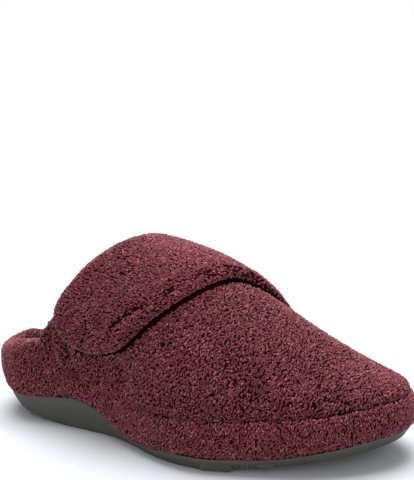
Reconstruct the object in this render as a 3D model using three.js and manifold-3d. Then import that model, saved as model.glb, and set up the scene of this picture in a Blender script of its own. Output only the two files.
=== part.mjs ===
// A closed toe mule slipper for the right foot, standing empty on its sole.
// X runs from the heel to the toe, Y towards the medial side and Z up. The origin is on the floor,
// below the middle of the shoe's box.
import * as THREE from "three";
import { mergeVertices } from "three/addons/utils/BufferGeometryUtils.js";
import Module from "manifold-3d";

const wasm = await Module();
wasm.setup();

// Driving sizes in millimetres.
const shoeLength = 260; // heel to toe over the wrapped edge
const ballWidth = 100; // over the wrapped edge at the ball
const heelRoundLength = 36; // how far the round back of the heel reaches forward
const toeRoundLength = 74; // how far the round of the toe reaches back
const toeDrift = 13; // the toe's tip lies this far to the medial side of the heel's line
const heelRocker = 12.5; // rise of the tread at the very back
const toeSpring = 12.3; // rise of the tread at the very front
const waistLift = 0.9; // the waist of the tread clears the floor by this
const flangeHeight = 20.4; // tallest part of the rubber side wall, in front of the heel
const flangeFlare = 2.4; // the side wall leans out by this from the tread to its top
const treadWall = 3.5; // rubber between the tread and the wrapped midsole
const treadRound = 2; // rounding of the tread's edge
const lipWidth = 2; // top edge of the rubber side wall
const overhang = 1.2; // the wrapped edge stands out over the rubber by this
const heelTuck = 2.5; // the sole's back edge lies this far in from the wrapped heel
const toeTuck = 1.5; // and its front edge this far in from the wrapped toe
const joint = 0.3; // clearance between pieces that are cemented or sewn together
const rimHeight = 45.5; // top of the heel cup above the floor
const rimWidth = 11; // thickness of the padded heel cup near its top
const edgeWidth = 7.5; // width of the wrapped edge beside the forefoot
const footbedDish = 1.6; // the footbed's middle lies lower than its sides
const seatHeight = 27; // top of the midsole above the floor under the heel
const insoleThickness = 3.2;
const insoleRoll = 1.4; // the insole's rounded edge reaches out over the footbed's rise
const bedMargin = 3; // the footbed starts to rise this far inside its padded edge
const instepHeight = 109; // top of the upper above the floor, at the collar
const crownShift = 7; // the instep's ridge lies this far to the medial side
const upperWall = 4.2; // terry over foam and a brushed lining
const upperInset = 2; // the upper stands in from the wrapped edge beside the forefoot
const quarterInset = 0.7; // and beside the heel
const bluntRound = 6.5; // rounding of the toe's top edge
const toeLean = 1.4; // the toe's wall leans back by this towards its top
const strapThickness = 6.6; // terry over foam
const strapGap = 0.45; // between the strap and the upper below it
const strapLift = 1.2; // the strap's free front edge stands off by this
const grooveDepth = 1.3; // the sewn channel along the strap's front edge
const treadGrooveWidth = 2.2;
const treadGrooveDepth = 1.5;
const treadGroovePitch = 9;
const treadMargin = 12; // the forefoot's grooves end this far in from the edges
const padHeight = 3.6; // the raised pads low on the rubber's lateral side
const padLengths = [18, 9];
const sideRelief = 0.8; // the pads and the ribs stand out by this
const ribWidth = 1.4;
const ribPitch = 2.8;
const ribCount = 4;

// Stations from heel to toe, as shares of the shoe's length: half widths as shares of half the ball
// width, before the ends are rounded off.
const outline = [
  { along: 0.0, lateral: 0.755, medial: 0.67 },
  { along: 0.173, lateral: 0.725, medial: 0.665 },
  { along: 0.263, lateral: 0.74, medial: 0.65 },
  { along: 0.323, lateral: 0.76, medial: 0.65 },
  { along: 0.373, lateral: 0.815, medial: 0.65 },
  { along: 0.423, lateral: 0.905, medial: 0.655 },
  { along: 0.493, lateral: 1.035, medial: 0.7 },
  { along: 0.553, lateral: 1.1, medial: 0.79 },
  { along: 0.613, lateral: 1.1, medial: 0.885 },
  { along: 0.663, lateral: 1.046, medial: 0.925 },
  { along: 0.713, lateral: 0.995, medial: 0.92 },
  { along: 0.763, lateral: 0.963, medial: 0.84 },
  { along: 0.813, lateral: 0.944, medial: 0.785 },
  { along: 0.863, lateral: 0.928, medial: 0.72 },
  { along: 0.923, lateral: 0.89, medial: 0.69 },
  { along: 0.95, lateral: 0.86, medial: 0.68 },
  { along: 1.0, lateral: 0.84, medial: 0.67 },
];
// Heights along the shoe: the rubber wall above the tread as a share of its tallest part, the
// wrapped edge on each side as a share of the heel cup, the footbed as a share of its height at the
// heel, and the upper's ridge as a share of the instep. Full is the exponent of the upper's section.
const side = [
  { along: 0.0, flange: 0.31, lateral: 0.97, medial: 0.97, seat: 1.04, ridge: 0.98, full: 2.3 },
  { along: 0.006, flange: 0.32, lateral: 0.985, medial: 0.935, seat: 1.04, ridge: 0.98, full: 2.3 },
  { along: 0.015, flange: 0.33, lateral: 1.0, medial: 0.895, seat: 1.04, ridge: 0.99, full: 2.3 },
  { along: 0.025, flange: 0.34, lateral: 1.015, medial: 0.865, seat: 1.04, ridge: 0.99, full: 2.3 },
  { along: 0.05, flange: 0.43, lateral: 1.05, medial: 0.845, seat: 1.03, ridge: 1.0, full: 2.3 },
  { along: 0.083, flange: 0.53, lateral: 1.1, medial: 0.83, seat: 1.02, ridge: 1.01, full: 2.3 },
  { along: 0.133, flange: 0.7, lateral: 1.15, medial: 0.81, seat: 1.0, ridge: 1.03, full: 2.3 },
  { along: 0.165, flange: 0.81, lateral: 1.14, medial: 0.81, seat: 1.0, ridge: 1.035, full: 2.3 },
  { along: 0.185, flange: 0.86, lateral: 0.98, medial: 0.805, seat: 1.0, ridge: 1.035, full: 2.3 },
  { along: 0.213, flange: 0.95, lateral: 0.85, medial: 0.795, seat: 0.99, ridge: 1.035, full: 2.3 },
  { along: 0.253, flange: 1.0, lateral: 0.765, medial: 0.765, seat: 0.98, ridge: 1.035, full: 2.3 },
  { along: 0.293, flange: 0.92, lateral: 0.705, medial: 0.705, seat: 0.97, ridge: 1.027, full: 2.3 },
  { along: 0.333, flange: 0.71, lateral: 0.655, medial: 0.655, seat: 0.95, ridge: 1.01, full: 2.3 },
  { along: 0.373, flange: 0.4, lateral: 0.62, medial: 0.62, seat: 0.92, ridge: 0.993, full: 2.3 },
  { along: 0.413, flange: 0.27, lateral: 0.595, medial: 0.595, seat: 0.87, ridge: 0.975, full: 2.25 },
  { along: 0.473, flange: 0.28, lateral: 0.58, medial: 0.58, seat: 0.79, ridge: 0.947, full: 2.2 },
  { along: 0.553, flange: 0.38, lateral: 0.6, medial: 0.6, seat: 0.7, ridge: 0.89, full: 2.1 },
  { along: 0.663, flange: 0.38, lateral: 0.63, medial: 0.63, seat: 0.65, ridge: 0.762, full: 2.0 },
  { along: 0.763, flange: 0.3, lateral: 0.675, medial: 0.675, seat: 0.68, ridge: 0.623, full: 2.0 },
  { along: 0.863, flange: 0.34, lateral: 0.72, medial: 0.72, seat: 0.75, ridge: 0.49, full: 2.1 },
  { along: 0.923, flange: 0.37, lateral: 0.765, medial: 0.765, seat: 0.81, ridge: 0.425, full: 2.2 },
  { along: 0.973, flange: 0.34, lateral: 0.79, medial: 0.79, seat: 0.87, ridge: 0.395, full: 2.3 },
  { along: 1.0, flange: 0.3, lateral: 0.8, medial: 0.8, seat: 0.93, ridge: 0.385, full: 2.4 },
];
// The collar's line, from the lateral end of the quarter over the instep to the medial end.
const collar = [
  { turn: 0.0, along: 0.165 },
  { turn: 0.08, along: 0.191 },
  { turn: 0.155, along: 0.229 },
  { turn: 0.2, along: 0.254 },
  { turn: 0.27, along: 0.289 },
  { turn: 0.35, along: 0.33 },
  { turn: 0.43, along: 0.363 },
  { turn: 0.5, along: 0.377 },
  { turn: 0.57, along: 0.368 },
  { turn: 0.65, along: 0.338 },
  { turn: 0.73, along: 0.299 },
  { turn: 0.8, along: 0.26 },
  { turn: 0.85, along: 0.223 },
  { turn: 0.92, along: 0.19 },
  { turn: 1.0, along: 0.173 },
];
// The strap's two edges over the upper, from its rounded end to its root in the medial seam.
const strapEdges = [
  { turn: 0.072, back: 0.283, front: 0.301 },
  { turn: 0.09, back: 0.237, front: 0.36 },
  { turn: 0.117, back: 0.223, front: 0.4 },
  { turn: 0.155, back: 0.227, front: 0.43 },
  { turn: 0.2, back: 0.244, front: 0.46 },
  { turn: 0.28, back: 0.279, front: 0.51 },
  { turn: 0.38, back: 0.319, front: 0.555 },
  { turn: 0.5, back: 0.367, front: 0.592 },
  { turn: 0.6, back: 0.402, front: 0.626 },
  { turn: 0.7, back: 0.423, front: 0.658 },
  { turn: 0.82, back: 0.434, front: 0.682 },
  { turn: 1.0, back: 0.44, front: 0.697 },
];
const tabEnd = 0.072; // turn of the strap's rounded end
const rootEnd = 0.985; // turn where the strap runs into the medial seam
const grooveAcross = 0.88; // place of the sewn channel across the strap
const heelGrooves = { from: 0.07, to: 0.29 };
const forefootGrooves = { from: 0.46, to: 0.93 };
const padsFrom = 0.615; // place of the first raised pad on the lateral side

const clamp01 = (v) => Math.min(Math.max(v, 0), 1);
const smooth = (v) => clamp01(v) ** 2 * (3 - 2 * clamp01(v));
const mix = (a, b, t) => a + (b - a) * t;

// Smooth curve through a table's column.
function at(table, column, value, key = "along") {
  const v = Math.min(Math.max(value, table[0][key]), table[table.length - 1][key]);
  let i = 0;
  while (i < table.length - 2 && table[i + 1][key] < v) i++;
  const slope = (k) => {
    const a = table[Math.max(k - 1, 0)];
    const b = table[Math.min(k + 1, table.length - 1)];
    return (b[column] - a[column]) / (b[key] - a[key]);
  };
  const [p, q] = [table[i], table[i + 1]];
  const h = q[key] - p[key];
  const t = (v - p[key]) / h;
  return (
    p[column] * (1 + 2 * t) * (1 - t) ** 2 +
    q[column] * t * t * (3 - 2 * t) +
    h * slope(i) * t * (1 - t) ** 2 +
    h * slope(i + 1) * t * t * (t - 1)
  );
}

// How full the outline is near its two round ends, from 0 at the tip to 1.
function endRound(share) {
  const heel = clamp01((share * shoeLength) / heelRoundLength);
  const toe = clamp01(((1 - share) * shoeLength) / toeRoundLength);
  return (1 - (1 - heel) ** 2.4) ** (1 / 2.3) * (1 - (1 - toe) ** 2.3) ** (1 / 2.1);
}

// A place in plan: across runs from -1 on the lateral edge to 1 on the medial edge.
function spot(share, across, inset) {
  const width = (at(outline, across < 0 ? "lateral" : "medial", share) * ballWidth) / 2 - inset;
  return {
    x: mix(inset, shoeLength - inset, share) - shoeLength / 2,
    y: toeDrift * smooth((share - 0.62) / 0.38) + across * width * endRound(share),
  };
}

function treadHeight(share) {
  const heel = heelRocker * clamp01((0.21 - share) / 0.21) ** 1.5;
  const toe = toeSpring * clamp01((share - 0.638) / 0.362) ** 1.15;
  const waist = waistLift * smooth((share - 0.3) / 0.07) * smooth((0.49 - share) / 0.07);
  return heel + toe + waist;
}
const flangeTop = (share) => treadHeight(share) + at(side, "flange", share) * flangeHeight;
function wrapTop(share, across) {
  const [lateral, medial] = [at(side, "lateral", share), at(side, "medial", share)];
  return mix(lateral, medial, (1 + across) / 2) * rimHeight;
}
const seatTop = (share) => at(side, "seat", share) * seatHeight;
const standIn = (share) => mix(quarterInset, upperInset, smooth((share - 0.35) / 0.2));
const lean = (share) => toeLean * smooth((share - 0.88) / 0.12);
const tuck = (share) => heelTuck * smooth((0.1 - share) / 0.1) + toeTuck * smooth((share - 0.9) / 0.1);

// Joins rows of points into one closed body. Each row is a closed loop, and the ends collapse or
// are capped.
function loft(rows, capped = false) {
  const places = [];
  const keys = new Map();
  const index = rows.map((row) =>
    row.map((p) => {
      const key = [p.x, p.y, p.z].map((v) => Math.round(v * 1e4)).join();
      if (!keys.has(key)) {
        keys.set(key, places.length);
        places.push(p);
      }
      return keys.get(key);
    }),
  );
  const faces = [];
  const face = (a, b, c) => {
    if (a !== b && b !== c && c !== a) faces.push(a, b, c);
  };
  for (let i = 0; i + 1 < rows.length; i++) {
    const n = rows[i].length;
    for (let j = 0; j < n; j++) {
      const k = (j + 1) % n;
      face(index[i][j], index[i][k], index[i + 1][k]);
      face(index[i][j], index[i + 1][k], index[i + 1][j]);
    }
  }
  const cap = (row, turned) => {
    for (let j = 0, k = row.length - 1; j + 1 < k; j++, k--) {
      const near = [row[j], row[j + 1], row[k]];
      face(...(turned ? near.reverse() : near));
      if (j + 2 < k) {
        const far = [row[j + 1], row[k - 1], row[k]];
        face(...(turned ? far.reverse() : far));
      }
    }
  };
  if (capped) {
    cap(index[0], true);
    cap(index[index.length - 1], false);
  }
  const geometry = new THREE.BufferGeometry();
  const positions = places.flatMap((p) => [p.x, p.y, p.z]);
  geometry.setAttribute("position", new THREE.Float32BufferAttribute(positions, 3));
  geometry.setIndex(faces);
  return geometry;
}

// Shares that lie closer together at both round ends.
function stations(count) {
  return Array.from({ length: count + 1 }, (_, i) => (1 - Math.cos((Math.PI * i) / count)) / 2);
}

// A full loop from the rows of its lateral half, -1, and its medial half, 1.
function loop(share, half) {
  const place = (side) =>
    half(side).map(({ across, inset, z }) => ({ ...spot(share, side * across, inset), z }));
  return [...place(-1), ...place(1).reverse()];
}

function solid(geometry) {
  const bare = geometry.clone();
  for (const name of ["normal", "uv"]) bare.deleteAttribute(name);
  const merged = mergeVertices(bare, 1e-4);
  const vertProperties = new Float32Array(merged.attributes.position.array);
  const triVerts = new Uint32Array(merged.index.array);
  return new wasm.Manifold(new wasm.Mesh({ numProp: 3, vertProperties, triVerts }));
}

function geometryOf(manifold) {
  const { vertProperties, triVerts } = manifold.getMesh();
  const geometry = new THREE.BufferGeometry();
  geometry.setAttribute("position", new THREE.Float32BufferAttribute(vertProperties, 3));
  geometry.setIndex(Array.from(triVerts));
  return geometry;
}

// The rubber cup: tread, rounded edge, leaning side wall and a lip around the wrapped midsole.
function cupSole() {
  const rows = stations(44).map((share) => {
    const low = treadHeight(share);
    const top = flangeTop(share);
    const floor = low + treadWall;
    const edge = overhang + tuck(share);
    const foot = edge + flangeFlare;
    return loop(share, () => [
      { across: 0, inset: edge + lipWidth + 1, z: floor },
      { across: 1, inset: edge + lipWidth + 1, z: floor },
      { across: 1, inset: edge + lipWidth, z: top },
      { across: 1, inset: edge, z: top },
      { across: 1, inset: mix(edge, foot, 0.35), z: mix(low, top, 0.65) },
      { across: 1, inset: foot, z: low + treadRound },
      { across: 1, inset: foot + treadRound * 0.3, z: low + treadRound * 0.3 },
      { across: 1, inset: foot + treadRound, z: low },
      { across: 0, inset: foot + treadRound, z: low },
    ]);
  });
  return loft(rows);
}

// A bar across the tread, turned to its slope.
function treadGroove(share, length) {
  const step = 0.01;
  const rise = treadHeight(share + step) - treadHeight(share - step);
  const bar = new THREE.BoxGeometry(treadGrooveWidth, length, 2 * treadGrooveDepth);
  bar.rotateY(-Math.atan2(rise, 2 * step * shoeLength));
  const { x, y } = spot(share, 0, 0);
  return bar.translate(x, y, treadHeight(share));
}

// A block set into the lateral side wall, standing out by the side relief.
function sideBlock(share, geometry, z) {
  const step = 0.01;
  const inset = overhang + flangeFlare + tuck(share);
  const [p, a, b] = [share, share - step, share + step].map((s) => spot(s, -1, inset));
  geometry.rotateZ(Math.atan2(b.y - a.y, b.x - a.x));
  return geometry.translate(p.x, p.y, z);
}

// A raised pad with round ends.
function padBlock(length) {
  const round = padHeight / 2;
  const pill = new THREE.Shape();
  pill.moveTo(round - length / 2, -round);
  pill.absarc(length / 2 - round, 0, round, -Math.PI / 2, Math.PI / 2);
  pill.absarc(round - length / 2, 0, round, Math.PI / 2, (3 * Math.PI) / 2);
  const options = { depth: 2 * sideRelief, bevelEnabled: false, curveSegments: 5 };
  return new THREE.ExtrudeGeometry(pill, options).rotateX(Math.PI / 2).translate(0, sideRelief, 0);
}

function outsoleGeometry() {
  let sole = solid(cupSole());
  const pitch = treadGroovePitch / shoeLength;
  for (let s = heelGrooves.from; s < heelGrooves.to; s += pitch) {
    sole = sole.subtract(solid(treadGroove(s, ballWidth)));
  }
  for (let s = forefootGrooves.from; s < forefootGrooves.to; s += pitch) {
    const width = (at(outline, "lateral", s) + at(outline, "medial", s)) * endRound(s);
    sole = sole.subtract(solid(treadGroove(s, (width * ballWidth) / 2 - 2 * treadMargin)));
  }
  // Along the lateral side: a long pad, a row of ribs and a short pad.
  let place = padsFrom;
  const height = (share) => treadHeight(share) + treadRound * 0.4 + padHeight / 2;
  const add = (length, geometry) => {
    const middle = place + length / 2 / shoeLength;
    sole = sole.add(solid(sideBlock(middle, geometry, height(middle))));
    place += length / shoeLength;
  };
  add(padLengths[0], padBlock(padLengths[0]));
  for (let i = 0; i < ribCount; i++) {
    place += (ribPitch - ribWidth) / shoeLength;
    add(ribWidth, new THREE.BoxGeometry(ribWidth, 2 * sideRelief, padHeight * 0.7));
  }
  place += (ribPitch - ribWidth) / shoeLength;
  add(padLengths[1], padBlock(padLengths[1]));
  return geometryOf(sole);
}

// The padded midsole with its wrapped edge: a cup at the heel, a flat shoulder where the upper
// stands on it, and a step down into the rubber.
function innerInset(share) {
  return mix(edgeWidth + 1, rimWidth + 2, smooth((0.42 - share) / 0.25));
}
function midsoleGeometry() {
  const rows = stations(46).map((share) => {
    const low = treadHeight(share) + treadWall + joint;
    const edge = flangeTop(share) + joint;
    const seat = seatTop(share);
    const inner = innerInset(share);
    const rim = smooth((collar[0].along - 0.012 - share) / 0.05);
    const back = lean(share);
    const under = tuck(share);
    const lip = overhang + lipWidth + 1 + joint + under;
    const top = (side) => wrapTop(share, side);
    const wall = (side, rise, inset) => ({ across: 1, inset, z: mix(edge, top(side), rise) });
    const crest = (side, flat, round, drop, fall) => ({
      across: 1,
      inset: back + mix(flat, round, rim),
      z: top(side) - mix(drop, fall, rim),
    });
    return loop(share, (side) => [
      { across: 0, inset: inner + bedMargin, z: seat - footbedDish },
      { across: 0.55, inset: inner + bedMargin, z: seat - footbedDish * 0.6 },
      { across: 1, inset: inner + bedMargin, z: seat },
      { across: 1, inset: inner + 0.5, z: seat + 2.5 },
      crest(side, edgeWidth + 0.6, rimWidth, 1.2, 5),
      crest(side, edgeWidth, rimWidth * 0.85, 0, 1),
      crest(side, rimWidth * 0.45, rimWidth * 0.6, 0, 0),
      crest(side, standIn(share) - 0.4, upperInset, 0, 3.2),
      wall(side, 0.78, back + 0.3),
      wall(side, 0.5, back * 0.8),
      wall(side, 0.22, under * 0.35 + 0.2),
      wall(side, 0, under + 0.9),
      { across: 1, inset: lip, z: edge },
      { across: 1, inset: lip + 0.2, z: low },
      { across: 0, inset: lip + 0.2, z: low },
    ]);
  });
  return loft(rows);
}

function insoleGeometry() {
  const rows = stations(40).map((share) => {
    const seat = seatTop(share) + joint;
    const edge = innerInset(share) + bedMargin;
    const up = insoleThickness;
    return loop(share, () => [
      { across: 0, inset: edge, z: seat - footbedDish + up },
      { across: 0.55, inset: edge, z: seat - footbedDish * 0.6 + up },
      { across: 1, inset: edge + 0.2, z: seat + up },
      { across: 1, inset: edge - insoleRoll, z: seat + up * 0.85 },
      { across: 1, inset: edge + 0.2, z: seat + 0.1 },
      { across: 0.55, inset: edge + 0.2, z: seat - footbedDish * 0.6 },
      { across: 0, inset: edge + 0.2, z: seat - footbedDish },
    ]);
  });
  return loft(rows);
}

// A point of the upper's outside: turn runs from 0 on the lateral seam over the top to 1.
function upperSpot(share, turn, inset) {
  const angle = Math.PI * turn;
  const power = 2 / at(side, "full", share);
  const across = -Math.sign(Math.cos(angle)) * Math.abs(Math.cos(angle)) ** power;
  const seam = wrapTop(share, across) + joint;
  const rise = at(side, "ridge", share) * instepHeight - seam;
  const blunt = (1 - (1 - clamp01(((1 - share) * shoeLength) / bluntRound)) ** 2.4) ** (1 / 2.4);
  const height = Math.max(rise - inset * 1.15, 0) * Math.sin(angle) ** power * blunt;
  const place = spot(share, across, standIn(share) + lean(share) + inset);
  const crown = crownShift * smooth((0.85 - share) / 0.3) * Math.sin(angle) ** 2;
  return { x: place.x, y: place.y + crown, z: seam + height };
}

const upperTurns = 36;
function upperGeometry() {
  const along = stations(44)
    .map((s) => 2 * s - 1)
    .filter((s) => s > -1e-9);
  const rows = [];
  for (let j = 0; j <= upperTurns; j++) {
    const turn = j / upperTurns;
    const start = at(collar, "along", turn, "turn");
    const nose = upperSpot(start - (0.45 * upperWall) / shoeLength, turn, upperWall / 2);
    const outer = along.map((a) => upperSpot(mix(start, 1, a), turn, 0));
    const inner = along.map((a) => upperSpot(mix(start, 1, a), turn, upperWall));
    rows.push([nose, ...outer, ...inner.reverse()]);
  }
  return loft(rows, true);
}

// A point at a height above the upper's outside, square to it.
function overUpper(share, turn, height) {
  const point = (s, t) => new THREE.Vector3().copy(upperSpot(s, t, 0));
  const step = 0.004;
  const forward = point(share + step, turn).sub(point(share - step, turn));
  const around = point(share, turn + step).sub(point(share, turn - step));
  return point(share, turn).addScaledVector(forward.cross(around).normalize(), height);
}

function strapGeometry() {
  const across = [0, 0.02, 0.08, 0.3, 0.6, 0.82, grooveAcross, 0.92, 0.975, 1];
  const pile = [0.3, 0.75, 0.98, 1.03, 1.03, 0.97, 1, 0.92, 0.75, 0.3];
  const beneath = [0, 0.17, 0.34, 0.51, 0.68, 0.85, 1];
  const turns = [tabEnd, tabEnd + 0.004, tabEnd + 0.012];
  for (let j = 0; j <= upperTurns; j++) {
    if (j / upperTurns > tabEnd + 0.012 && j / upperTurns < rootEnd) turns.push(j / upperTurns);
  }
  turns.push(rootEnd);
  const rows = turns.map((turn) => {
    const back = at(strapEdges, "back", turn, "turn");
    const front = at(strapEdges, "front", turn, "turn");
    const thick = strapThickness * Math.sqrt(1 - (1 - clamp01((turn - tabEnd) / 0.03)) ** 2);
    const flat = mix(1, 0.6, smooth((turn - 0.9) / 0.08));
    const under = (v) => strapGap + strapLift * flat * smooth((v - 0.8) / 0.2);
    const outside = across.map((v, i) => {
      const height = thick * flat * pile[i] - (v === grooveAcross ? grooveDepth * flat : 0);
      return overUpper(mix(back, front, v), turn, height + under(v));
    });
    const inside = beneath.map((v) => overUpper(mix(back, front, v), turn, under(v)));
    return [...outside, ...inside.reverse()];
  });
  return loft(rows, true);
}

function part(name, geometry, colour, roughness) {
  geometry.computeVertexNormals();
  const material = new THREE.MeshStandardMaterial({ color: colour, roughness, metalness: 0 });
  const mesh = new THREE.Mesh(geometry, material);
  mesh.name = name;
  return mesh;
}

const terry = 0x6b2f40;
const rubber = 0x4a4a44;
const shoe = new THREE.Group();
shoe.name = "slipper";
shoe.add(part("outsole", outsoleGeometry(), rubber, 0.7));
shoe.add(part("midsole", midsoleGeometry(), terry, 0.95));
shoe.add(part("insole", insoleGeometry(), terry, 0.95));
shoe.add(part("upper", upperGeometry(), terry, 0.95));
shoe.add(part("strap", strapGeometry(), terry, 0.95));
const box = new THREE.Box3().setFromObject(shoe);
const middle = box.getCenter(new THREE.Vector3());
shoe.position.set(-middle.x, -middle.y, -box.min.z);

export default shoe;
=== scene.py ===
import math

import bpy
import numpy as np
from mathutils import Matrix, Vector
from mathutils.bvhtree import BVHTree

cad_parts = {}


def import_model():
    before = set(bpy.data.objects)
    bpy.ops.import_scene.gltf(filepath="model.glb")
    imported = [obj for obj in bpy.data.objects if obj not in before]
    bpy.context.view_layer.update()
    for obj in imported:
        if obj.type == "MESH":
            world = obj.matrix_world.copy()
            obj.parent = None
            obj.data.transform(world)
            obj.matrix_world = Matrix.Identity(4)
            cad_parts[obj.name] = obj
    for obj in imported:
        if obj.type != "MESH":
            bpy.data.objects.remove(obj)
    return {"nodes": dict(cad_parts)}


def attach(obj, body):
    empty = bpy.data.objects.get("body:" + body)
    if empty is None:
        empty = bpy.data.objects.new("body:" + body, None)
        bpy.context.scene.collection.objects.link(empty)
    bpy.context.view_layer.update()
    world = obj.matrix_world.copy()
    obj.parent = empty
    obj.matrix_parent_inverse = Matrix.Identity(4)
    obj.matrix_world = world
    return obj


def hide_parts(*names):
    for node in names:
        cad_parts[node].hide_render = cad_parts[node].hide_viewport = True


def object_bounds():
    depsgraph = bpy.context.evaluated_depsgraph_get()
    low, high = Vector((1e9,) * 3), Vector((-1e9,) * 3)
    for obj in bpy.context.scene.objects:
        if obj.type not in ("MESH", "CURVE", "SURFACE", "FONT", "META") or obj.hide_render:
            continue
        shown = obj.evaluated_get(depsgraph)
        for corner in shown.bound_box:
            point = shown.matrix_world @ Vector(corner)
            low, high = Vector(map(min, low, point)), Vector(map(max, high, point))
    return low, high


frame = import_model()
cad_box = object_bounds()
scene = bpy.context.scene

# The camera stands low at the slipper's lateral side and looks along it towards the toe. The
# picture is 414 by 480, so the lens is set from the focal length in pixels on its long side.
MM = 0.001
view_azimuth, view_elevation, view_roll = (math.radians(a) for a in (27.0, 13.0, -1.2))
view_distance_mm, focal_pixels, picture_pixels, sensor_mm = 561.2, 965.3, 480, 36.0
view_aim = Vector((6.1, 10.9, 113.7)) * MM
right = Vector((math.cos(view_azimuth), math.sin(view_azimuth), 0))
back = Vector((math.sin(view_azimuth), -math.cos(view_azimuth), 0)) * math.cos(view_elevation)
back.z = math.sin(view_elevation)
up = back.cross(right)
rolled_right = right * math.cos(view_roll) + up * math.sin(view_roll)
rolled_up = up * math.cos(view_roll) - right * math.sin(view_roll)
camera = bpy.data.objects.new("camera", bpy.data.cameras.new("camera"))
camera.data.sensor_width = sensor_mm
camera.data.lens = focal_pixels * sensor_mm / picture_pixels
turned = Matrix((rolled_right, rolled_up, back)).transposed().to_4x4()
camera.matrix_world = Matrix.Translation(view_aim + back * view_distance_mm * MM) @ turned
scene.collection.objects.link(camera)
scene.camera = camera

# The outsole: one cup of thermoplastic rubber, injection moulded. Its side wall rises in front of
# the heel, two pads and a row of ribs stand out low on the lateral side, and bars cross the tread.
edge_round_mm, edge_degrees, weld_mm = 0.45, 32, 0.01


def linear(colour):
    """A hex colour in sRGB as linear red, green, blue and alpha."""
    parts = [int(colour[i : i + 2], 16) / 255 for i in (1, 3, 5)]
    return [c / 12.92 if c <= 0.04045 else ((c + 0.055) / 1.055) ** 2.4 for c in parts] + [1.0]


def add(tree, kind, settings, inputs):
    """Adds a node with its settings, and gives each input a value or links it to a socket."""
    made = tree.nodes.new(kind)
    for name, value in settings.items():
        setattr(made, name, value)
    for name, value in inputs.items():
        if isinstance(value, bpy.types.NodeSocket):
            tree.links.new(value, made.inputs[name])
        else:
            made.inputs[name].default_value = value
    return made


def new_material(name):
    """An empty node material, its tree and its coordinates in metres."""
    made = bpy.data.materials.new(name)
    made.use_nodes = True
    made.node_tree.nodes.clear()
    place = add(made.node_tree, "ShaderNodeTexCoord", {}, {}).outputs["Object"]
    return made, made.node_tree, place


def copied(node, name):
    """A new object with a CAD node's mesh, and a modifier that welds its doubled corners."""
    piece = bpy.data.objects.new(name, frame["nodes"][node].data.copy())
    piece.data.materials.clear()
    scene.collection.objects.link(piece)
    weld = piece.modifiers.new("weld", "WELD")
    weld.merge_threshold = weld_mm * MM
    return piece


def applied(piece):
    """Turns a piece's modifiers into its mesh, and shades its faces smooth."""
    evaluated = piece.evaluated_get(bpy.context.evaluated_depsgraph_get())
    shape = bpy.data.meshes.new_from_object(evaluated)
    piece.modifiers.clear()
    piece.data = shape
    shape.polygons.foreach_set("use_smooth", [True] * len(shape.polygons))
    return piece


outsole = copied("outsole", "outsole_moulded")
bevel = outsole.modifiers.new("soft edges", "BEVEL")
bevel.width, bevel.segments = edge_round_mm * MM, 2
bevel.angle_limit = math.radians(edge_degrees)
even_shade = outsole.modifiers.new("even shade", "WEIGHTED_NORMAL")
even_shade.keep_sharp = False
applied(outsole)

# Moulded rubber, from a spark-eroded mould: matt and olive grey, a little glossier in clouds where
# it has been handled. The mould's grain is about 0.25 mm, and is drawn at 0.5 mm so that it shows.
rubber, tree, place = new_material("moulded_rubber")
grain_mm, grain_depth_mm, cloud_mm = 0.5, 0.12, 22.0
grain = add(
    tree,
    "ShaderNodeTexNoise",
    {},
    {"Vector": place, "Scale": 1 / (grain_mm * MM), "Detail": 2.0},
)
cloud = add(
    tree,
    "ShaderNodeTexNoise",
    {},
    {"Vector": place, "Scale": 1 / (cloud_mm * MM), "Detail": 3.0},
)
tint = add(
    tree,
    "ShaderNodeMix",
    {"data_type": "RGBA"},
    {0: cloud.outputs["Fac"], 6: linear("#2f2e29"), 7: linear("#3e3d36")},
)
gloss = add(
    tree,
    "ShaderNodeMapRange",
    {},
    {
        "Value": cloud.outputs["Fac"],
        "From Min": 0.3,
        "From Max": 0.7,
        "To Min": 0.5,
        "To Max": 0.64,
    },
)
relief = add(
    tree,
    "ShaderNodeBump",
    {},
    {"Height": grain.outputs["Fac"], "Strength": 0.25, "Distance": grain_depth_mm * MM},
)
shader = add(
    tree,
    "ShaderNodeBsdfPrincipled",
    {},
    {
        "Base Color": tint.outputs[2],
        "Roughness": gloss.outputs["Result"],
        "IOR": 1.5,
        "Normal": relief.outputs["Normal"],
    },
)
add(tree, "ShaderNodeOutputMaterial", {}, {"Surface": shader.outputs["BSDF"]})
outsole.data.materials.append(rubber)
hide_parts("outsole")
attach(outsole, "root")

# The midsole: a foam board whose edge and heel cup are padded and wrapped in terry. The terry is
# looped pile, drawn over the edge and cemented into the rubber cup.
terry_voxel_mm, midsole_relax_rounds = 1.35, 6


def soft(node, name, rounds):
    """A cloth piece: a CAD node's form in even small faces, with its facets smoothed out."""
    piece = copied(node, name)
    remesh = piece.modifiers.new("even faces", "REMESH")
    remesh.mode, remesh.voxel_size = "VOXEL", terry_voxel_mm * MM
    relax = piece.modifiers.new("relax", "SMOOTH")
    relax.factor, relax.iterations = 0.5, rounds
    return applied(piece)


def corners(shape):
    """A mesh's vertices and their normals, as rows."""
    found = []
    for source, key in ((shape.vertices, "co"), (shape.vertex_normals, "vector")):
        row = np.empty(len(source) * 3)
        source.foreach_get(key, row)
        found.append(row.reshape(-1, 3))
    return found


neighbours = {}
for name, node in frame["nodes"].items():
    neighbours[name] = BVHTree.FromPolygons(
        [v.co for v in node.data.vertices], [p.vertices for p in node.data.polygons]
    )


def uncovered(place, out, neighbour, facing_mm):
    """Whether a place neither touches a neighbour nor faces one that is closer than facing_mm."""
    touching_mm, facing_cosine = 0.35, 0.5
    near, _, _, gap = neighbour.find_nearest(place, facing_mm * MM)
    if near is None:
        return True
    return gap > touching_mm * MM and (near - place).dot(out) < facing_cosine * gap


def facing_up(lowest):
    """A test for pile: whether a face's normal rises by more than lowest."""
    return lambda places, out: out[:, 2] > lowest


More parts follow.
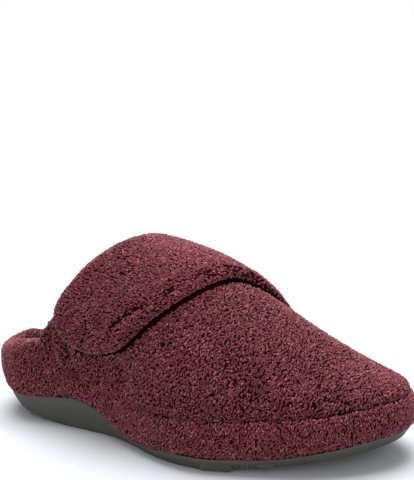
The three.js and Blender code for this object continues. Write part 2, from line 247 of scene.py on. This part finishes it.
# A loop is a bead with these corners: shares of its half length, half width and half height, how
# far its curve moves them aside, and its lift, near 0 at its ends in the ground and 1 on its back;
# the terry's colour is painted darker as shade where the lift is low.
bead = [
    (1.0, 0.0, -0.75, 1.0, 0.1),
    (0.45, 1.0, -0.1, 0.0, 0.52),
    (-0.45, 1.0, -0.1, 0.0, 0.52),
    (-1.0, 0.0, -0.75, 1.0, 0.1),
    (-0.45, -1.0, -0.1, 0.0, 0.52),
    (0.45, -1.0, -0.1, 0.0, 0.52),
    (0.38, 0.0, 1.0, -0.3, 1.0),
    (-0.38, 0.0, 1.0, -0.3, 1.0),
]
facets = [(0, 1, 6), (1, 2, 7), (1, 7, 6), (2, 3, 7), (3, 4, 7), (4, 5, 6), (4, 6, 7), (5, 0, 6)]
loop_mm = (2.3, 0.78, 1.1)  # length, width and height, larger than real loops so that they show


def pile(piece, name, own, seed, spacing_mm, nap, wanted):
    """Terry loops over a piece, wherever no neighbour covers it and wanted says yes. Each loop is a
    curved bead that lies roughly along the nap, about spacing_mm from the next. own is the CAD node
    that the piece replaces."""
    tries_per_loop, loose_mm, sewn_mm = 3, 4.5, 0.4
    nap_spread, turn_spread, bend_spread = 0.12, 0.5, 0.5
    tilt_mean, tilt_spread = 0.12, 0.2
    size_range, stand_mm = (0.7, 1.3), (0.1, 0.5)
    rng = np.random.default_rng(seed)
    shape = piece.data
    shape.calc_loop_triangles()
    sides = np.empty(len(shape.loop_triangles) * 3, np.int64)
    shape.loop_triangles.foreach_get("vertices", sides)
    sides = sides.reshape(-1, 3)
    places, normals = corners(shape)
    # Spots at random all over the surface, then one for each cell of a grid.
    a, b, c = (places[sides[:, i]] for i in range(3))
    area = np.linalg.norm(np.cross(b - a, c - a), axis=1) / 2
    tries = int(area.sum() / (spacing_mm * MM) ** 2 * tries_per_loop)
    face = rng.choice(len(sides), tries, p=area / area.sum())
    u, v = rng.random((2, tries))
    u, v = np.where(u + v > 1, 1 - u, u), np.where(u + v > 1, 1 - v, v)
    weights = np.stack([1 - u - v, u, v], 1)[:, :, None]
    spots = (places[sides[face]] * weights).sum(1)
    out = (normals[sides[face]] * weights).sum(1)
    out /= np.linalg.norm(out, axis=1)[:, None]
    kept = wanted(spots, out)
    spots, out = spots[kept], out[kept]
    cells = np.floor(spots / (spacing_mm * MM)).astype(int)
    first = np.sort(np.unique(cells, axis=0, return_index=True)[1])
    spots, out = spots[first], out[first]
    # No loop faces a neighbour across the strap's loose gap, or in a seam.
    others = [
        (neighbour, loose_mm if "strap" in (own, node) else sewn_mm)
        for node, neighbour in neighbours.items()
        if node != own
    ]
    free = [all(uncovered(Vector(p), Vector(n), *o) for o in others) for p, n in zip(spots, out)]
    spots, out = spots[free], out[free]
    count = len(spots)
    # The nap along the surface, turned at random for each loop, with one end a little higher.
    lie = np.array(nap, float) - (out @ np.array(nap, float))[:, None] * out
    lie += rng.normal(0, nap_spread, (count, 3))
    lie /= np.linalg.norm(lie, axis=1)[:, None]
    side = np.cross(out, lie)
    turn = rng.normal(0, turn_spread, count)[:, None]
    lie, side = lie * np.cos(turn) + side * np.sin(turn), side * np.cos(turn) - lie * np.sin(turn)
    tilt = rng.normal(tilt_mean, tilt_spread, count)[:, None]
    lie, top = lie * np.cos(tilt) + out * np.sin(tilt), out * np.cos(tilt) - lie * np.sin(tilt)
    long, wide, tall = (
        size * MM / 2 * rng.uniform(*size_range, count)[:, None] for size in loop_mm
    )
    bend = rng.normal(0, bend_spread, count)[:, None] * wide
    middle = spots + out * rng.uniform(*stand_mm, count)[:, None] * MM
    points = [
        middle + lie * long * x + side * (wide * y + bend * curve) + top * tall * z
        for x, y, z, curve, _ in bead
    ]
    faces = np.arange(count)[:, None, None] * len(bead) + np.array(facets)
    made = bpy.data.meshes.new(name)
    made.vertices.add(count * len(bead))
    made.vertices.foreach_set("co", np.stack(points, 1).ravel())
    made.loops.add(faces.size)
    made.loops.foreach_set("vertex_index", faces.ravel())
    made.polygons.add(faces.size // 3)
    made.polygons.foreach_set("loop_start", np.arange(0, faces.size, 3))
    made.polygons.foreach_set("use_smooth", [True] * (faces.size // 3))
    made.update(calc_edges=True)
    # The lift carries painted shade: the terry's colour darkens towards each loop's ends in the
    # ground.
    lift = made.attributes.new("lift", "FLOAT", "POINT")
    lift.data.foreach_set("value", np.tile([corner[-1] for corner in bead], count))
    made.materials.append(terry)
    loops = bpy.data.objects.new(name, made)
    scene.collection.objects.link(loops)
    return loops


# Terry towelling, a knitted ground with looped pile in two-ply polyester: soft and matt, with
# painted shade darkening each loop towards its roots in the gaps, paler where the loops' backs
# catch the light, some loops paler still as painted highlights, and a faint bloom at grazing
# angles. The twist of its yarn is about 0.3 mm, and is drawn at 0.9 mm so that it shows.
terry, tree, place = new_material("terry_towelling_loops")
ply_mm, streak_mm = 0.9, 6.0
# Loop tones differ at random; the palest stop stands for loops that glint, a painted highlight.
back_shades = [(0.0, "#64212b"), (0.8, "#7a3943"), (1.0, "#9c5c67")]
ply = add(
    tree,
    "ShaderNodeTexNoise",
    {},
    {"Vector": place, "Scale": 1 / (ply_mm * MM), "Detail": 2.0},
)
streak = add(
    tree,
    "ShaderNodeTexNoise",
    {},
    {"Vector": place, "Scale": 1 / (streak_mm * MM), "Detail": 3.0},
)
lift = add(tree, "ShaderNodeAttribute", {"attribute_name": "lift"}, {})
each = add(tree, "ShaderNodeNewGeometry", {}, {})
backs = add(tree, "ShaderNodeValToRGB", {}, {"Fac": each.outputs["Random Per Island"]})
backs.color_ramp.elements.new(back_shades[1][0])
for stop, (position, colour) in zip(backs.color_ramp.elements, back_shades):
    stop.position, stop.color = position, linear(colour)
soft_light = add(
    tree,
    "ShaderNodeMapRange",
    {},
    {
        "Value": streak.outputs["Fac"],
        "From Min": 0.3,
        "From Max": 0.7,
        "To Min": 0.72,
        "To Max": 1.2,
    },
)
twist = add(
    tree,
    "ShaderNodeMapRange",
    {},
    {
        "Value": ply.outputs["Fac"],
        "From Min": 0.35,
        "From Max": 0.65,
        "To Min": 0.66,
        "To Max": 1.28,
    },
)
shade = add(
    tree,
    "ShaderNodeMath",
    {"operation": "MULTIPLY"},
    {0: soft_light.outputs[0], 1: twist.outputs[0]},
)
dyed = add(
    tree,
    "ShaderNodeMix",
    {"data_type": "RGBA", "blend_type": "MULTIPLY"},
    {0: 0.7, 6: backs.outputs["Color"], 7: shade.outputs["Value"]},
)
# Painted shade: each loop fades to a near-black red towards its roots, as its lift falls.
painted_root_shade = add(
    tree,
    "ShaderNodeMix",
    {"data_type": "RGBA"},
    {0: lift.outputs["Fac"], 6: linear("#22060c"), 7: dyed.outputs[2]},
)
shader = add(
    tree,
    "ShaderNodeBsdfPrincipled",
    {},
    {
        "Base Color": painted_root_shade.outputs[2],
        "Roughness": 0.85,
        "IOR": 1.45,
        "Specular IOR Level": 0.15,
        "Sheen Weight": 0.3,
        "Sheen Roughness": 0.55,
        "Sheen Tint": linear("#e0b8c0"),
    },
)
add(tree, "ShaderNodeOutputMaterial", {}, {"Surface": shader.outputs["BSDF"]})

# The ground of the same cloth between its loops: painted near black as the deep shade between
# them, with the roots' fine bumps, and painted darker still in the dips between the bumps.
ground, tree, place = new_material("terry_towelling_ground")
root_mm, root_depth_mm = 1.3, 0.6
roots = add(
    tree,
    "ShaderNodeTexVoronoi",
    {},
    {"Vector": place, "Scale": 1 / (root_mm * MM), "Randomness": 1.0},
)
# Painted shade: the ground darkens away from each root's middle, into the dips between them.
depth = add(
    tree,
    "ShaderNodeMix",
    {"data_type": "RGBA"},
    {0: roots.outputs["Distance"], 6: linear("#2e0b13"), 7: linear("#1b060a")},
)
relief = add(
    tree,
    "ShaderNodeBump",
    {"invert": True},
    {"Height": roots.outputs["Distance"], "Strength": 0.9, "Distance": root_depth_mm * MM},
)
shader = add(
    tree,
    "ShaderNodeBsdfPrincipled",
    {},
    {
        "Base Color": depth.outputs[2],
        "Roughness": 0.9,
        "IOR": 1.45,
        "Specular IOR Level": 0.0,
        "Normal": relief.outputs["Normal"],
    },
)
add(tree, "ShaderNodeOutputMaterial", {}, {"Surface": shader.outputs["BSDF"]})

midsole = soft("midsole", "midsole_wrap", midsole_relax_rounds)
midsole.data.materials.append(ground)
midsole_loops = pile(
    midsole,
    "midsole_loops",
    "midsole",
    seed=11,
    spacing_mm=1.14,
    nap=(0.3, 0.1, 1.0),
    wanted=facing_up(-0.6),
)
for piece in (midsole, midsole_loops):
    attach(piece, "root")
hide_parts("midsole")

# The insole: a sock of the same terry over thin foam, cemented onto the footbed.
insole_relax_rounds = 4
insole = soft("insole", "insole_sock", insole_relax_rounds)
insole.data.materials.append(ground)
insole_loops = pile(
    insole,
    "insole_loops",
    "insole",
    seed=23,
    spacing_mm=1.25,
    nap=(1.0, 0.1, 0.0),
    wanted=facing_up(0.1),
)
for piece in (insole, insole_loops):
    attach(piece, "root")
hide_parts("insole")

# The upper: one shell of terry over thin foam and a brushed lining, closed over a last and sewn
# down along the wrapped edge. It is dented softly where it bends beside the ball, in the quarter
# and below the strap, and its pile parts there.
upper_relax_rounds = 6
length, width, height = (high - low for low, high in zip(*cad_box))


def world(along, across, rise):
    """A place given as shares of the shoe's length, of its half width and of its height."""
    return np.array(((along - 0.5) * length, across * width / 2, rise * height))


def away_from(places, line):
    """How far each place lies from a line through points in the shoe's own shares, in metres."""
    nearest = np.full(len(places), np.inf)
    points = [world(*point) for point in line]
    for start, end in zip(points, points[1:]):
        step = end - start
        share = np.clip((places - start) @ step / (step @ step), 0, 1)
        off = places - start - share[:, None] * step
        nearest = np.minimum(nearest, np.linalg.norm(off, axis=1))
    return nearest


def clearance(places, node):
    """How far each place lies from a CAD node's surface, in metres."""
    return np.array([neighbours[node].find_nearest(Vector(p))[3] for p in places])


def moved_by(piece, ways):
    """Moves each of a piece's vertices by its own row of ways."""
    places, _ = corners(piece.data)
    piece.data.vertices.foreach_set("co", (places + ways).ravel())
    piece.data.update()


def press(piece, folds, inward):
    """Presses soft troughs into a piece, or raises ridges where the depth is below 0. Each follows
    its line, or a neighbour's edge forward of a share of the length, and fades over its reach."""
    fade_in = 0.08  # the share of the length over which a fold beside a neighbour deepens
    places, normals = corners(piece.data)
    moved = np.zeros(len(places))
    for fold in folds:
        if "line" in fold:
            away = away_from(places, fold["line"]) / (fold["reach_mm"] * MM)
            moved += fold["depth_mm"] * MM * np.exp(-(away**2))
        else:
            away = clearance(places, fold["beside"]) / (fold["reach_mm"] * MM)
            along = places[:, 0] / length + 0.5
            share = np.clip((along - fold["forward_of"]) / fade_in, 0, 1)
            moved += fold["depth_mm"] * MM * np.exp(-(away**2)) * share
    moved_by(piece, inward(places, normals) * moved[:, None])


def dense(places, partings, seed):
    """Whether a place keeps its loop: near each parting's line, a share of the loops is missing."""
    gone = np.zeros(len(places))
    for parting in partings:
        near = np.exp(-((away_from(places, parting["line"]) / (parting["reach_mm"] * MM)) ** 2))
        gone = np.maximum(gone, parting["share"] * near)
    return np.random.default_rng(seed).random(len(places)) > gone


# Lines on the shoe, as shares of its length, half width and height.
collar_crease = [
    (0.198, -0.616, 0.52),
    (0.201, -0.627, 0.45),
    (0.208, -0.631, 0.39),
    (0.22, -0.63, 0.34),
]
quarter_dent = [(0.245, -0.627, 0.45), (0.255, -0.636, 0.38), (0.271, -0.642, 0.31)]
waist_dent = [(0.34, -0.665, 0.41), (0.358, -0.685, 0.35)]
upper_folds = [
    {"line": [(0.655, -0.64, 0.53), (0.725, -0.78, 0.35)], "reach_mm": 7.0, "depth_mm": 4.4},
    {"line": [(0.395, -0.7, 0.42), (0.42, -0.772, 0.33)], "reach_mm": 7.0, "depth_mm": 2.4},
    {"line": waist_dent, "reach_mm": 4.0, "depth_mm": 1.4},
    {"line": quarter_dent, "reach_mm": 4.5, "depth_mm": 1.8},
    {"line": collar_crease, "reach_mm": 2.6, "depth_mm": 2.6},
    {"line": [(0.84, -0.58, 0.35), (0.9, -0.4, 0.33)], "reach_mm": 6.0, "depth_mm": 2.0},
    {"line": [(0.79, -0.5, 0.42), (0.83, -0.35, 0.42)], "reach_mm": 8.0, "depth_mm": 1.2},
    {"line": [(0.3, -0.63, 0.29), (0.34, -0.64, 0.265)], "reach_mm": 2.5, "depth_mm": -0.9},
    {"beside": "strap", "forward_of": 0.0, "reach_mm": 2.6, "depth_mm": 2.0},
    {"beside": "midsole", "forward_of": 0.38, "reach_mm": 4.5, "depth_mm": 1.6},
]
ball_parting = [(0.66, -0.7, 0.51), (0.675, -0.736, 0.475), (0.713, -0.763, 0.39)]
seam_parting = [(0.55, -0.93, 0.34), (0.72, -0.8, 0.33), (0.86, -0.52, 0.33)]
tab_parting = [
    (0.2, -0.616, 0.52),
    (0.215, -0.62, 0.475),
    (0.24, -0.627, 0.445),
    (0.29, -0.64, 0.435),
]
quarter_parting = [(0.24, -0.63, 0.4), (0.33, -0.66, 0.42), (0.4, -0.72, 0.4)]
upper_partings = [
    {"line": ball_parting, "reach_mm": 6.0, "share": 0.85},
    {"line": seam_parting, "reach_mm": 9.0, "share": 0.28},
    {"line": tab_parting, "reach_mm": 2.5, "share": 0.6},
    {"line": [(0.835, -0.55, 0.33), (0.855, -0.545, 0.32)], "reach_mm": 4.5, "share": 0.55},
    {"line": [(0.862, -0.41, 0.385), (0.873, -0.4, 0.37)], "reach_mm": 4.5, "share": 0.55},
    {"line": [(0.795, -0.35, 0.48), (0.81, -0.35, 0.475)], "reach_mm": 4.0, "share": 0.4},
    {"line": [(0.396, -0.73, 0.4), (0.41, -0.745, 0.37)], "reach_mm": 3.5, "share": 0.5},
    {"line": [(0.69, -0.48, 0.585), (0.71, -0.475, 0.57)], "reach_mm": 3.5, "share": 0.4},
    {"line": collar_crease[:3], "reach_mm": 2.6, "share": 0.95},
    {"line": quarter_dent, "reach_mm": 3.5, "share": 0.4},
    {"line": waist_dent, "reach_mm": 3.0, "share": 0.4},
    {"line": quarter_parting, "reach_mm": 8.0, "share": 0.35},
]


def heart(places):
    """For each place, the nearest point on a line inside the shoe, under the instep and toes."""
    across, rise, front = 0.08, 0.26, 0.22
    line = np.tile(world(0.5, across, rise), (len(places), 1))
    line[:, 0] = np.minimum(places[:, 0], front * length)
    return line


def into_the_shoe(places, normals):
    """The way from each place towards the inside of the shoe."""
    way = heart(places) - places
    return way / np.linalg.norm(way, axis=1)[:, None]


def outside(places, normals):
    """Whether a place is on the shell's outer side or at most about 9 mm inside its collar, clear
    of the strap's edge, and not in a parting."""
    bare_mm, inmost_cosine = 1.0, -0.2
    away = places - heart(places)
    facing = (away * normals).sum(1) > inmost_cosine * np.linalg.norm(away, axis=1)
    clear = clearance(places, "strap") > bare_mm * MM
    return facing & clear & dense(places, upper_partings, seed=71)


upper = soft("upper", "upper_shell", upper_relax_rounds)
press(upper, upper_folds, into_the_shoe)
upper.data.materials.append(ground)
upper_loops = pile(
    upper,
    "upper_loops",
    "upper",
    seed=37,
    spacing_mm=1.2,
    nap=(0.5, 0.1, 0.8),
    wanted=outside,
)
for piece in (upper, upper_loops):
    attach(piece, "root")
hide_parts("upper")

# The strap: a padded band of the same terry, sewn into the medial seam and laid over the instep,
# with a rounded tab on the lateral side and a sewn channel inside its front edge.
strap_relax_rounds = 4
channel = [
    (0.385, -0.73, 0.62),
    (0.416, -0.7, 0.68),
    (0.444, -0.67, 0.72),
    (0.469, -0.66, 0.75),
    (0.492, -0.61, 0.785),
    (0.51, -0.53, 0.815),
    (0.528, -0.44, 0.84),
    (0.545, -0.33, 0.86),
    (0.558, -0.2, 0.875),
    (0.572, -0.05, 0.885),
    (0.585, 0.12, 0.875),
    (0.6, 0.28, 0.85),
]
edge_crease = [
    (0.561, -0.242, 0.858),
    (0.581, -0.004, 0.87),
    (0.598, 0.17, 0.85),
    (0.617, 0.327, 0.816),
    (0.635, 0.451, 0.758),
    (0.652, 0.57, 0.694),
    (0.665, 0.678, 0.636),
]
front_band = [
    (0.4, -0.73, 0.58),
    (0.47, -0.66, 0.71),
    (0.51, -0.55, 0.775),
    (0.55, -0.3, 0.84),
    (0.58, -0.05, 0.86),
]
strap_folds = [
    {"line": edge_crease, "reach_mm": 1.6, "depth_mm": 1.7},
    {"line": channel, "reach_mm": 2.2, "depth_mm": 3.2},
    {"line": [(0.29, -0.6, 0.77), (0.31, -0.55, 0.72)], "reach_mm": 9.0, "depth_mm": 1.5},
]
tab_band = [(0.26, -0.66, 0.52), (0.33, -0.7, 0.53), (0.4, -0.72, 0.6)]
strap_partings = [
    {"line": channel, "reach_mm": 2.9, "share": 1.0},
    {"line": edge_crease, "reach_mm": 3.4, "share": 0.85},
    {"line": tab_band, "reach_mm": 9.0, "share": 0.28},
    {"line": front_band, "reach_mm": 3.0, "share": 0.5},
]


def into_the_padding(places, normals):
    """The way from each place into the strap."""
    return -normals


def clear_of_upper(places, normals):
    """Whether a place on the strap lies above the dark gap along its edges, and in no parting."""
    shadow_gap_mm = 1.0
    clear = clearance(places, "upper") > shadow_gap_mm * MM
    return clear & dense(places, strap_partings, seed=97)


strap = soft("strap", "strap_band", strap_relax_rounds)
press(strap, strap_folds, into_the_padding)
# The padding swells the strap's edge a little above the upper.
swell_mm, swell_height_mm, swell_reach_mm = 1.9, 3.6, 1.9
places, normals = corners(strap.data)
rise_mm = clearance(places, "upper") / MM
swell = swell_mm * MM * np.exp(-(((rise_mm - swell_height_mm) / swell_reach_mm) ** 2))
moved_by(strap, normals * swell[:, None])
strap.data.materials.append(ground)
strap_loops = pile(
    strap,
    "strap_loops",
    "strap",
    seed=53,
    spacing_mm=1.12,
    nap=(1.0, 0.1, 0.2),
    wanted=clear_of_upper,
)
for piece in (strap, strap_loops):
    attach(piece, "root")
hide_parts("strap")

# The studio: a plain pale floor of matt paper, a surround that is white at the horizon and
# overhead, one wide soft light from above and a weaker one from the toe's lateral side.
floor_half = 15.0
floor_ends = [(-1, -1), (1, -1), (1, 1), (-1, 1)]
floor_corners = [(x * floor_half, y * floor_half, 0) for x, y in floor_ends]
floor_shape = bpy.data.meshes.new("floor")
floor_shape.from_pydata(floor_corners, [], [(0, 1, 2, 3)])
floor = bpy.data.objects.new("floor", floor_shape)
scene.collection.objects.link(floor)
paper, tree, place = new_material("matt_paper_floor")
shader = add(
    tree,
    "ShaderNodeBsdfPrincipled",
    {},
    {"Base Color": linear("#abadb1"), "Roughness": 0.9},
)
add(tree, "ShaderNodeOutputMaterial", {}, {"Surface": shader.outputs["BSDF"]})
floor_shape.materials.append(paper)
surround = bpy.data.worlds.new("surround")
surround.use_nodes = True
tree = surround.node_tree
direction = add(tree, "ShaderNodeTexCoord", {}, {}).outputs["Generated"]
rise = add(tree, "ShaderNodeSeparateXYZ", {}, {"Vector": direction})
walls = add(tree, "ShaderNodeValToRGB", {}, {"Fac": rise.outputs["Z"]})
bands = [(0.0, "#ffffff"), (0.04, "#ffffff"), (0.1, "#b4b4b6"), (0.5, "#c4c4c6"), (0.8, "#ffffff")]
for position, colour in bands[2:]:
    walls.color_ramp.elements.new(position)
for stop, (position, colour) in zip(walls.color_ramp.elements, bands):
    stop.position, stop.color = position, linear(colour)
tree.links.new(walls.outputs["Color"], tree.nodes["Background"].inputs["Color"])
scene.world = surround
lights = [
    {"name": "key", "strength": 5.4, "degrees": 42.0, "toward": (-0.12, 0.2, 1.0)},
    {"name": "fill", "strength": 1.4, "degrees": 60.0, "toward": (0.8, -1.0, 0.4)},
]
for row in lights:
    lamp = bpy.data.lights.new(row["name"], "SUN")
    lamp.energy, lamp.angle = row["strength"], math.radians(row["degrees"])
    light = bpy.data.objects.new(row["name"], lamp)
    light.rotation_euler = Vector(row["toward"]).to_track_quat("Z", "Y").to_euler()
    scene.collection.objects.link(light)
scene.view_settings.view_transform = "Standard"
